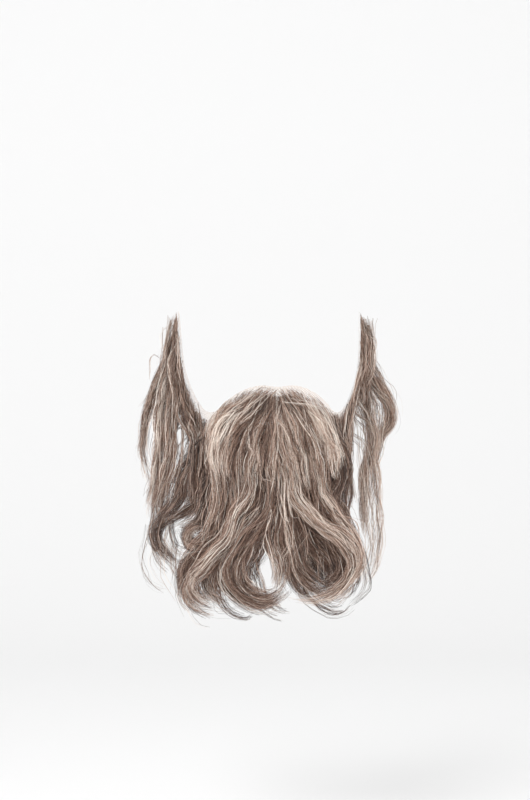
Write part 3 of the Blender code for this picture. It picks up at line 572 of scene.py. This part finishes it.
def ripple(count, points, scale, knots):
    """Smooth random wandering for each strand."""
    raw = rng.normal(0, scale, (count, knots))
    at = np.linspace(0, knots - 1, points)
    i = np.minimum(at.astype(int), knots - 2)
    t = smooth_step(0, 1, at - i)
    return raw[:, i] * (1 - t) + raw[:, i + 1] * t


def lace_roots(mass):
    """Places spread over the mass's stretch of the lace, sparser along its upper edge."""
    low, high = mass.turns
    turn = rng.uniform(low, high, ROOTS_TRIED) * (rng.choice((-1, 1), ROOTS_TRIED) if low == 0 else 1)
    bottom, top = lace_edges(turn)
    z = rng.uniform(bottom, top)
    kept = np.abs(z - MOUTH_RISE) > mouth_half_height(face_surface(turn, z)[:, 0])
    if mass.band == "upper":
        kept &= z > np.minimum(MOUTH_RISE, (bottom + top) / 2)
    if mass.band == "lower":
        kept &= z < MOUTH_RISE + 2
    bare = bare_margin(turn)
    full = smooth_step(bare, bare + BARE_FADE, top - z)
    kept &= rng.uniform(0, 1, ROOTS_TRIED) < BARE_ROOTS + (1 - BARE_ROOTS) * full
    places = face_surface(turn[kept], z[kept])
    return places + outward(places) * (LACE_WALL + ROOT_LIFT)


def shared_out(roots, lines, locks):
    """For each root, the lock that it joins and how far along the lock it lies."""
    best = np.full(len(roots), np.inf)
    which = np.zeros(len(roots), int)
    where = np.zeros(len(roots))
    for i, ((line, along), lock) in enumerate(zip(lines, locks)):
        if lock.rooted < FREE_BELOW:
            continue
        near = along <= lock.rooted + ROOT_REACH
        gap = np.linalg.norm(roots[:, None, :] - line[None, near, :], axis=2)
        cost = gap.min(axis=1) + rng.normal(0, ROOT_SHARING, len(roots))
        closer = cost < best
        best = np.where(closer, cost, best)
        which = np.where(closer, i, which)
        where = np.where(closer, along[near][gap.argmin(axis=1)], where)
    return which, where


# The clumps of a lock: their places across it (a) and through it (b), tones, phases of their
# waves, wave lengths and ends along the lock
Clumps = namedtuple("Clumps", "a b tone phase wave end")

# The wisps of a lock: the clump of each, places as above, which stray, starts and ends along the
# lock, offsets of their roots, shifts of phase, sizes of wave, small and large wanderings, tones
Wisps = namedtuple("Wisps", "clump a b stray start end offset phase swing small large tone")


def clumps_of(lock, length):
    count = max(4, round(lock.wide * lock.deep / CLUMP_AREA))
    angle = rng.uniform(0, 2 * math.pi, count)
    far = np.sqrt(rng.uniform(0, 1, count))
    tone = rng.normal(0, CLUMP_TONE, count)
    phase = rng.uniform(0, 2 * math.pi, (count, 2))
    wave = rng.uniform(*WAVE_LENGTHS, count)
    end = length * rng.uniform(0.95, 1.0, count)
    return Clumps(far * np.cos(angle), far * np.sin(angle), tone, phase, wave, end)


def wisps_of(lock, line, along, roots, starts, count, mass, clumps, points):
    """Without roots, wisps start in the lock's own first stretch."""
    clump = rng.integers(0, len(clumps.tone), count)
    angle = rng.uniform(0, 2 * math.pi, count)
    far = np.sqrt(rng.uniform(0, 1, count)) * rng.choice((1, 1, 1, 1.4), count)
    stray = rng.uniform(0, 1, count) < mass.strays
    if len(roots):
        picked = rng.integers(0, len(roots), count)
        start = starts[picked]
        offset = roots[picked] - read_line(along, line, start)
    else:
        start = rng.uniform(0, 1, count) * lock.rooted
        offset = np.zeros((count, 3))
    end = clumps.end[clump] * rng.uniform(mass.shortest, 1.0, count)
    end = np.where(stray, along[-1] * rng.uniform(SHORTEST_STRAY, 1.0, count), end)
    phase = rng.normal(0, WAVE_SHIFT, (count, 2))
    swing = mass.waves * rng.uniform(0.5, 1.5, count) * min(1.4, 0.14 * lock.wide + 0.2)
    frizz = 0.6 * rng.uniform(0.4, 1.6, count)
    small = [ripple(count, points, 1.0, 7) * (0.5 * frizz + 0.15)[:, None] for _ in range(3)]
    large = [ripple(count, points, 1.0, 4) * np.where(stray, mass.wander, 0.6)[:, None] for _ in range(3)]
    tone = rng.normal(0, WISP_TONE, count)
    tone = tone + np.where(rng.uniform(0, 1, count) < PALE_WISPS, PALE_WISP, 0.0)
    a, b = far * np.cos(angle), far * np.sin(angle)
    return Wisps(clump, a, b, stray, start, end, offset, phase, swing, small, large, tone)


def strands_of(lock, line, along, roots, starts, count, mass):
    """The strands of one lock: (count, points, 3) places and (count,) tones.

    Strands lie together in wisps, and wisps in clumps that share a wave."""
    length = along[-1]
    points = int(np.clip(round(length / mass.step), 8, 34))
    clumps = clumps_of(lock, length)
    wisps = wisps_of(lock, line, along, roots, starts, max(6, round(count / WISP)), mass, clumps, points)
    wisp = rng.integers(0, len(wisps.tone), count)
    clump = wisps.clump[wisp]
    stray = wisps.stray[wisp][:, None]
    own_a, own_b = rng.normal(0, 1, (2, count, 1))
    start = wisps.start[wisp] + (0 if len(roots) else rng.uniform(0, 6, count))
    end = np.maximum(wisps.end[wisp] * rng.uniform(0.94, 1.0, count), start + SHORTEST_STRAND)

    # The lock's line at each point of each strand. What is longer than the lock hangs down.
    t = np.linspace(0, 1, points)
    s = start[:, None] + (end - start)[:, None] * t[None, :]
    within = np.minimum(s, length)
    p = read_line(along, line, within)
    p[..., 2] -= np.maximum(s - length, 0)
    way = np.gradient(line, axis=0)
    way = read_line(along, way / np.linalg.norm(way, axis=1)[:, None], within)
    size = np.hypot(way[..., 0], way[..., 2]) + TINY
    across = np.stack([-way[..., 2] / size, 0 * size, way[..., 0] / size], -1)

    # Each strand's place in the lock
    from_root = s - start[:, None]
    joined = smooth_step(0, mass.join, from_root) if len(roots) else np.ones_like(s)
    share = within / length
    body = np.interp(share, BODY_AT, BODY)
    clumped = np.where(stray, STRAY_CLUMPED, np.interp(share, CLUMPED_AT, CLUMPED))
    wisp_a, wisp_b = wisps.a[wisp][:, None], wisps.b[wisp][:, None]
    a = (wisp_a * (1 - clumped) + clumps.a[clump][:, None] * clumped) * body
    b = (wisp_b * (1 - clumped) + clumps.b[clump][:, None] * clumped) * body
    spread = np.interp(t, WISP_SPREAD_AT, WISP_SPREADS)[None, :] * WISP_SPREAD
    spread = spread * np.where(stray, STRAY_SPREAD, 1.0)
    p += across * (a * lock.wide * LOCK_FILL * joined + own_a * spread)[..., None]
    p[..., 1] += b * lock.deep / 2 * joined + own_b * spread

    # Waves and wandering
    turn = 2 * math.pi * s / clumps.wave[clump][:, None]
    phase = clumps.phase[clump] + wisps.phase[wisp]
    swing = wisps.swing[wisp][:, None]
    loose = smooth_step(*LOOSENS, from_root)
    p += across * (loose * np.sin(turn + phase[:, :1]) * swing)[..., None]
    p[..., 1] += loose * np.sin(turn + phase[:, 1:]) * swing * 1.1
    far_off = smooth_step(*WANDERS, from_root)
    for k in range(3):
        own = ripple(count, points, STRAND_RIPPLE, 10)
        p[..., k] += loose * (wisps.small[k][wisp] + own) + far_off * wisps.large[k][wisp]

    p += wisps.offset[wisp][:, None, :] * (1 - joined)[..., None]
    p = push_out(p, LACE_WALL + ROOT_LIFT + HAIR_LIFT * smooth_step(0, 14, from_root))
    tone = lock.tone + clumps.tone[clump] + wisps.tone[wisp]
    tone += rng.normal(-GREY_SHARE * GREYED / 2, STRAND_TONE, count)
    tone += np.where(rng.uniform(0, 1, count) < GREY_SHARE, GREYED, 0.0)
    # Painted light: strands towards the front of their lock are made lighter and those at its sides darker,
    # so that each lock looks lit and rounded
    tone += -0.10 * wisp_b[:, 0] - 0.07 * (np.abs(wisp_a[:, 0]) - 0.5)
    return held_in(p), np.clip(tone, 0.02, 0.98)


def drawn_in(far, limit):
    """Distances, with what is past the limit eased to at most STRAY_REACH."""
    past = np.maximum(far - limit, 0)
    return far - past + STRAY_REACH * np.tanh(past / STRAY_REACH)


def held_in(p):
    """Draws in whatever strays far past the beard's sides and foot."""
    out = p.copy()
    out[..., 0] = np.sign(p[..., 0]) * drawn_in(np.abs(p[..., 0]), SIDE_REACH)
    out[..., 2] = -drawn_in(-p[..., 2], FOOT_REACH)
    return out


def ribbon_parts(strands, tones, width):
    """Tapering ribbons, each turned its own way about its line: corners, faces' corners and their UVs."""
    count, points = strands.shape[:2]
    way = np.gradient(strands, axis=1)
    way /= np.linalg.norm(way, axis=2)[..., None] + TINY
    side = np.cross(way, from_axis(strands))
    side /= np.linalg.norm(side, axis=2)[..., None] + TINY
    through = np.cross(side, way)
    t = np.linspace(0, 1, points)
    turned = rng.uniform(-1.2, 1.2, (count, 1)) + rng.uniform(-0.7, 0.7, (count, 1)) * t
    across = side * np.cos(turned)[..., None] + through * np.sin(turned)[..., None]
    half = (width / 2)[:, None, None] * np.interp(t, TAPER_AT, TAPER)[None, :, None] * across
    verts = np.stack([strands - half, strands + half], axis=2).reshape(-1, 3) * MM

    rung = np.arange(points - 1)[:, None] * 2
    quads = (rung + np.array([[0, 1, 3, 2]])).reshape(-1)
    first = np.arange(count)[:, None] * points * 2
    loops = (quads[None] + first).reshape(-1)
    along = np.linspace(0.02, 0.98, points)
    u = (tones[:, None, None] + np.array([-0.006, 0.006]) + np.zeros((1, points, 1))).reshape(-1)
    v = (np.zeros((count, 1, 2)) + along[None, :, None]).reshape(-1)
    return verts, loops, np.stack([u[loops], v[loops]], 1)


def hair_mesh(name, groups, material):
    """One mesh of strands. Its UV map holds each strand's tone and how far along it a place is."""
    parts = [ribbon_parts(*group) for group in groups]
    firsts = np.cumsum([0] + [len(part[0]) for part in parts])
    verts = np.concatenate([part[0] for part in parts])
    loops = np.concatenate([part[1] + first for part, first in zip(parts, firsts)])
    uv = np.concatenate([part[2] for part in parts])
    faces = len(loops) // 4
    mesh = bpy.data.meshes.new(name)
    mesh.vertices.add(len(verts))
    mesh.vertices.foreach_set("co", verts.astype(np.float32).reshape(-1))
    mesh.loops.add(len(loops))
    mesh.loops.foreach_set("vertex_index", loops.astype(np.int32))
    mesh.polygons.add(faces)
    mesh.polygons.foreach_set("loop_start", (np.arange(faces) * 4).astype(np.int32))
    mesh.update(calc_edges=True)
    layer = mesh.uv_layers.new(name="OFBake")
    layer.data.foreach_set("uv", uv.astype(np.float32).reshape(-1))
    mesh.polygons.foreach_set("use_smooth", np.ones(faces, bool))
    mesh.materials.append(material)
    mesh.validate()
    return placed(name, mesh)


def placed(name, data):
    """A new object in the scene."""
    thing = bpy.data.objects.new(name, data)
    bpy.context.scene.collection.objects.link(thing)
    return thing


def triangles(group):
    count, points = group[0].shape[:2]
    return count * 2 * (points - 1)


def add_hair(name, groups, material, node):
    """The strands as pieces of at most PIECE_TRIANGLES each, every piece with some of every lock."""
    parts = math.ceil(sum(triangles(group) for group in groups) / PIECE_TRIANGLES)
    for part in range(parts):
        chosen = [tuple(values[part::parts] for values in group) for group in groups]
        piece = hair_mesh(f"{name}_{part + 1}", chosen, material)
        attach(piece, "root")
        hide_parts(node)


def add_masses(material):
    """The long hair. A lock's share of its mass's strands goes by its section, fullness and length."""
    for mass in MASSES:
        lines = [lock_line(lock) for lock in mass.locks]
        roots = lace_roots(mass)
        which, where = shared_out(roots, lines, mass.locks)
        bulk = [
            lock.wide * lock.deep * lock.full * along[-1] ** 0.7
            for lock, (_, along) in zip(mass.locks, lines)
        ]
        counts = np.maximum(6, np.round(mass.strands * np.array(bulk) / sum(bulk))).astype(int)
        groups = []
        for i, lock in enumerate(mass.locks):
            mine = which == i
            strands, tones = strands_of(lock, *lines[i], roots[mine], where[mine], counts[i], mass)
            groups.append((strands, tones, HAIR_WIDTH * rng.uniform(0.65, 1.3, counts[i])))
        add_hair(mass.name, groups, material, mass.name)


def add_edge_hairs(material):
    """Short hairs lying along the upper edge of the lace, down and away from the middle."""
    points = EDGE_HAIR_POINTS
    t = np.linspace(0, 1, points)[None, :]
    for edge in EDGES:
        count = edge.count
        turn = rng.uniform(edge.low, edge.high, count)
        if edge.low == 0:
            turn *= rng.choice((-1, 1), count)
        bottom, top = lace_edges(turn)
        bare = bare_margin(turn) - BARE
        fall = rng.uniform(0, 1, count) ** 0.9 * (12 + 0.5 * bare)
        z = np.maximum(top - 0.8 - 0.7 * bare - fall, bottom + 4)
        length = rng.uniform(9, 20, count)[:, None]
        aside = rng.uniform(0.35, 0.8, count) if edge.low == 0 else rng.normal(0.05, 0.2, count)
        end = turn + (np.sign(turn) * aside * length[:, 0] / (face_section(z)[0] * QUARTER))
        turns = turn[:, None] + (end - turn)[:, None] * t + ripple(count, points, 0.6, 3) / 110
        rise = np.abs(rng.normal(0, 1.2, count))[:, None]
        heights = z[:, None] - length * t * (0.55 + 0.45 * t) + rise * np.sin(math.pi * t)
        p = face_surface(np.clip(turns, -0.985, 0.985), heights)
        lift = LACE_WALL + 0.2 + rng.uniform(0.8, 3.5, count)[:, None] * t**1.2
        tones = np.clip(rng.normal(0.55, 0.22, count), 0.02, 0.98)
        groups = [(p + outward(p) * lift[..., None], tones, EDGE_HAIR_WIDTH * rng.uniform(0.7, 1.3, count))]
        add_hair(edge.name, groups, material, edge.node)


def fill(tree, made, values):
    """Sets each value on the node's input, or links it there where it is another node's output."""
    for key, value in values.items():
        if isinstance(value, bpy.types.NodeSocket):
            tree.links.new(value, made.inputs[key])
        else:
            made.inputs[key].default_value = value


def new_node(tree, kind, values):
    made = tree.nodes.new(kind)
    fill(tree, made, values)
    return made


def new_maths(tree, operation, *values):
    """The output of a new maths node."""
    made = tree.nodes.new("ShaderNodeMath")
    made.operation = operation
    fill(tree, made, dict(enumerate(values)))
    return made.outputs[0]


def new_ramp(tree, at, stops):
    """The output of a new colour ramp with the given stops, read at the output given as at."""
    made = new_node(tree, "ShaderNodeValToRGB", {0: at})
    elements = made.color_ramp.elements
    for element, (position, colour) in zip(elements, (stops[0], stops[-1])):
        element.position = position
        element.color = colour
    for position, colour in stops[1:-1]:
        elements.new(position).color = colour
    return made.outputs[0]


def new_mix(tree, blend, values):
    """The output of a new node that mixes colours."""
    made = tree.nodes.new("ShaderNodeMix")
    made.data_type = "RGBA"
    made.blend_type = blend
    fill(tree, made, values)
    return made.outputs["Result"]


def new_material(name, uv_map):
    """A new material, its node tree, and the output of its UV map node."""
    material = bpy.data.materials.new(name)
    material.use_nodes = True
    tree = material.node_tree
    uv = tree.nodes.new("ShaderNodeUVMap")
    uv.uv_map = uv_map
    return material, tree, uv.outputs[0]


def hair_material():
    """Strand tone picks the colour, roots are darker, and each strand is uneven."""
    material, tree, uv = new_material("hair", "OFBake")
    split = new_node(tree, "ShaderNodeSeparateXYZ", {0: uv})
    stretched = new_node(tree, "ShaderNodeMapping", {0: uv, "Scale": UNEVEN_SCALE})
    noise = {"Vector": stretched.outputs[0], "Scale": 1.0, "Detail": 2.0}
    noise = new_node(tree, "ShaderNodeTexNoise", noise).outputs[0]
    uneven = new_maths(tree, "MULTIPLY_ADD", noise, UNEVEN, split.outputs[0])
    tone = new_maths(tree, "SUBTRACT", uneven, UNEVEN / 2)
    colour = new_ramp(tree, tone, HAIR_COLOURS)
    root = (ROOT_SHADE, ROOT_SHADE, ROOT_SHADE, 1)
    shade = new_ramp(tree, split.outputs[1], [(0.0, root), (ROOT_SHADE_ENDS, (1, 1, 1, 1))])
    shader = tree.nodes["Principled BSDF"]
    shaded = new_mix(tree, "MULTIPLY", {"Factor": 1.0, "A": colour, "B": shade})
    fill(tree, shader, {"Base Color": shaded, "Roughness": 0.38, "Specular IOR Level": 0.45})
    return material


def lace_material():
    """A fine net of warm thread, open between its threads, with a dark knot where hairs are tied."""
    material, tree, uv = new_material("lace_net", "Cut")
    pitch = 2 * math.pi / (NET_CELL * 0.866)
    waves = []
    for angle in map(math.radians, (0, 60, 120)):
        turned = tree.nodes.new("ShaderNodeVectorMath")
        turned.operation = "DOT_PRODUCT"
        fill(tree, turned, {0: uv, 1: (pitch * math.cos(angle), pitch * math.sin(angle), 0)})
        waves.append(new_maths(tree, "COSINE", turned.outputs["Value"]))
    total = new_maths(tree, "ADD", new_maths(tree, "ADD", *waves[:2]), waves[2])
    thread = {"Value": total, "From Min": -0.35, "From Max": -0.8, "To Min": 0.0, "To Max": 0.5}
    thread = new_node(tree, "ShaderNodeMapRange", thread).outputs[0]
    knots = {"Vector": uv, "Scale": 1 / KNOT_PITCH, "Randomness": 0.75}
    knots = new_node(tree, "ShaderNodeTexVoronoi", knots).outputs["Distance"]
    knot = {"Value": knots, "From Min": 0.24, "From Max": 0.14, "To Min": 0.0, "To Max": 1.0}
    knot = new_node(tree, "ShaderNodeMapRange", knot).outputs[0]
    noise = new_node(tree, "ShaderNodeTexNoise", {"Vector": uv, "Scale": 0.06, "Detail": 3.0})
    colour = new_ramp(tree, noise.outputs[0], LACE_COLOURS)
    colour = new_mix(tree, "MIX", {"Factor": knot, "A": colour, "B": KNOT_COLOUR})
    alpha = new_maths(tree, "MAXIMUM", thread, knot)
    fill(tree, tree.nodes["Principled BSDF"], {"Base Color": colour, "Alpha": alpha, "Roughness": 0.7})
    return material


def add_lace():
    """The lace: one thin layer on the face, in two bands that part at the mouth."""
    turns = np.linspace(-LACE_END, LACE_END, LACE_COLUMNS)
    bottom, top = lace_edges(turns)
    middle = (bottom + top) / 2
    aside = smooth_step(0.34, 0.52, np.abs(turns))
    split = MOUTH_RISE * (1 - aside) + middle * aside
    open_by = mouth_half_height(face_surface(turns, np.full_like(turns, MOUTH_RISE))[:, 0])
    share = np.linspace(0, 1, LACE_ROWS + 1)
    lower = bottom[:, None] + (split - open_by - bottom)[:, None] * share
    upper = (split + open_by)[:, None] + (top - split - open_by)[:, None] * share
    across = run_lengths(face_surface(turns, np.full_like(turns, LACE_MEASURED_AT)))
    verts, uvs, faces = [], [], []
    for heights in (lower, upper):
        first = len(verts)
        for i, turn in enumerate(turns):
            for z in heights[i]:
                verts.append(face_surface(np.array(turn), np.array(z)) * MM)
                uvs.append((across[i], z))
        for i in range(LACE_COLUMNS - 1):
            for j in range(LACE_ROWS):
                a = first + i * (LACE_ROWS + 1) + j
                faces.append((a, a + LACE_ROWS + 1, a + LACE_ROWS + 2, a + 1))
    mesh = bpy.data.meshes.new("lace")
    mesh.from_pydata([tuple(v) for v in verts], [], faces)
    cut = mesh.uv_layers.new(name="Cut")
    bake = mesh.uv_layers.new(name="OFBake")
    for loop in mesh.loops:
        u, v = uvs[loop.vertex_index]
        cut.data[loop.index].uv = (u, v)
        bake.data[loop.index].uv = (0.01 + 0.98 * u / across[-1], (v + 30) / 150)
    lace = placed("lace", mesh)
    weld = lace.modifiers.new("weld", "WELD")
    weld.merge_threshold = 0.02 * MM
    mesh.shade_smooth()
    mesh.materials.append(lace_material())
    return lace


def add_stage():
    """A pale floor that sweeps up into a backdrop."""
    profile = [(-STAGE_REACH, STAGE_FLOOR)]
    for k in range(STAGE_BEND_STEPS + 1):
        angle = math.radians(90 * k / STAGE_BEND_STEPS)
        y = STAGE_BACK - STAGE_BEND + STAGE_BEND * math.sin(angle)
        profile.append((y, STAGE_FLOOR + STAGE_BEND * (1 - math.cos(angle))))
    profile.append((STAGE_BACK, STAGE_REACH))
    verts = [(x, y, z) for y, z in profile for x in (-STAGE_REACH, STAGE_REACH)]
    faces = [(2 * i, 2 * i + 1, 2 * i + 3, 2 * i + 2) for i in range(len(profile) - 1)]
    mesh = bpy.data.meshes.new("backdrop")
    mesh.from_pydata(verts, [], faces)
    mesh.shade_smooth()
    material = bpy.data.materials.new("backdrop")
    material.use_nodes = True
    shader = material.node_tree.nodes["Principled BSDF"]
    shader.inputs["Base Color"].default_value = (0.92, 0.92, 0.92, 1)
    shader.inputs["Roughness"].default_value = 0.9
    mesh.materials.append(material)
    stage = placed("backdrop", mesh)


def aim(thing, place, way):
    thing.location = place
    thing.rotation_euler = way.to_track_quat("-Z", "Y").to_euler()


def add_lights():
    """Round lamps that point at the origin."""
    for name, place, size, power in LIGHTS:
        lamp = bpy.data.lights.new(name, "AREA")
        lamp.shape = "DISK"
        lamp.size = size
        lamp.energy = power
        aim(placed(name, lamp), place, -Vector(place))


def add_camera():
    camera = bpy.data.cameras.new("camera")
    camera.sensor_fit = "VERTICAL"
    camera.sensor_height = SENSOR_HEIGHT
    camera.lens = SENSOR_HEIGHT / VIEW_HEIGHT * CAMERA_DISTANCE
    camera.clip_start = 0.05
    thing = placed("camera", camera)
    target = Vector((VIEW_CENTRE[0] * MM, 0, VIEW_CENTRE[1] * MM))
    away = Vector((math.sin(CAMERA_AZIMUTH), -math.cos(CAMERA_AZIMUTH), 0))
    aim(thing, target + away * CAMERA_DISTANCE * MM, -away)
    bpy.context.scene.camera = thing


def add_world():
    world = bpy.data.worlds.new("studio")
    world.use_nodes = True
    background = world.node_tree.nodes["Background"]
    background.inputs["Color"].default_value = (1, 1, 1, 1)
    background.inputs["Strength"].default_value = 0.75
    bpy.context.scene.world = world
    bpy.context.scene.view_settings.view_transform = "Standard"


add_camera()
add_world()
add_stage()
add_lights()
lace = add_lace()
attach(lace, "root")
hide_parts("lace_base")
hair = hair_material()
add_masses(hair)
add_edge_hairs(hair)
